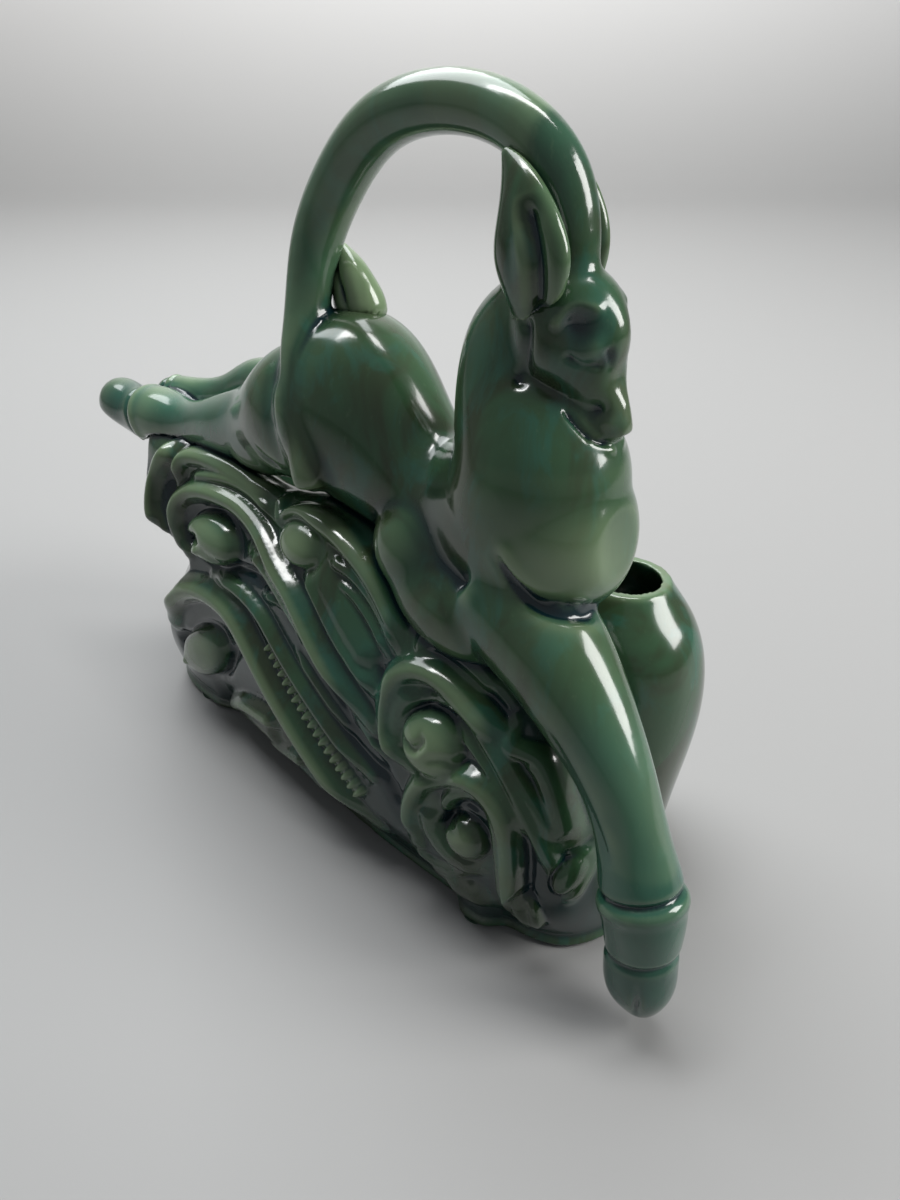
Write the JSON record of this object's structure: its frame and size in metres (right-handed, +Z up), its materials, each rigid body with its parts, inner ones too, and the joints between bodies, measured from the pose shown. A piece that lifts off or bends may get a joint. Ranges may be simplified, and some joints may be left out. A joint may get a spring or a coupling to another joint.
{
  "type": "television lamp",
  "caption": "Glazed earthenware television lamp: a leaping gazelle over curling waves with two planters, a lamp shelf, a turn-knob socket and a small bulb.",
  "frame": {"origin": "on the table, under the middle of the lamp's outline", "axes": "+X the way the gazelle leaps, -Y the decorated front, +Z up"},
  "size_m": [0.3476, 0.1209, 0.2705],
  "materials": {
    "green_glaze": "glossy lead-type glaze over earthenware, running from olive to teal, brown where thin",
    "felt": "felt",
    "brass": "satin, a little tarnished",
    "steel": "zinc plated",
    "black_plastic": "moulded phenolic",
    "fibre": "vulcanised fibre sheet",
    "bulb_base_metal": "pressed, rolled thread",
    "bulb_glass": "clear",
    "insulator_glass": "black vitrite with a soldered contact",
    "filament_wire": "drawn wire"
  },
  "bodies": {
    "root": {"cap_set_screw": "steel", "centre_contact": "brass", "centre_spray": "green_glaze", "far_ear": "green_glaze", "far_hind_leg": "green_glaze", "felt_pads": "felt", "fibre_liner": "fibre", "foreleg": "green_glaze", "gazelle_body": "green_glaze", "gazelle_head": "green_glaze", "horn": "green_glaze", "lamp_shelf": "green_glaze", "left_planter": "green_glaze", "lower_left_scroll": "green_glaze", "lower_right_scroll": "green_glaze", "near_ear": "green_glaze", "near_hind_leg": "green_glaze", "nipple_bush": "black_plastic", "nipple_locknut": "steel", "right_leaf": "green_glaze", "right_planter": "green_glaze", "right_scroll": "green_glaze", "screw_shell": "brass", "seat_ring": "brass", "shelf_washer": "steel", "socket_cap": "brass", "socket_insulator": "black_plastic", "socket_shell": "brass", "tail": "green_glaze", "terminal_screws": "brass", "threaded_nipple": "brass", "upper_left_scroll": "green_glaze", "wave_base": "green_glaze", "wave_beads": "green_glaze"},
    "switch": {"switch_spindle": "steel", "switch_knob": "black_plastic"},
    "bulb_contact": {"bulb_contact": "insulator_glass"},
    "bulb": {"bulb_screw_base": "bulb_base_metal", "bulb_glass": "bulb_glass", "bulb_stem": "bulb_glass", "bulb_filament": "filament_wire"}
  },
  "joints": [
    {"name": "switch_turn", "type": "hinge", "parent": "root", "child": "switch", "pos_m": [-0.008, 0.026, 0.04825], "axis": [1, 0, 0], "continuous": true},
    {"name": "bulb_rise", "type": "slide", "parent": "root", "child": "bulb_contact", "axis": [0, 0, 1], "range_m": [0, 0.0145]},
    {"name": "bulb_turn", "type": "hinge", "parent": "bulb_contact", "child": "bulb", "pos_m": [-0.008, 0.026, 0.075], "axis": [0, 0, 1], "range_deg": [0, 1440]}
  ],
  "couplings": [
    {"joint": "bulb_turn", "follows": "bulb_rise", "rad_per_m": 1731.6}
  ]
}
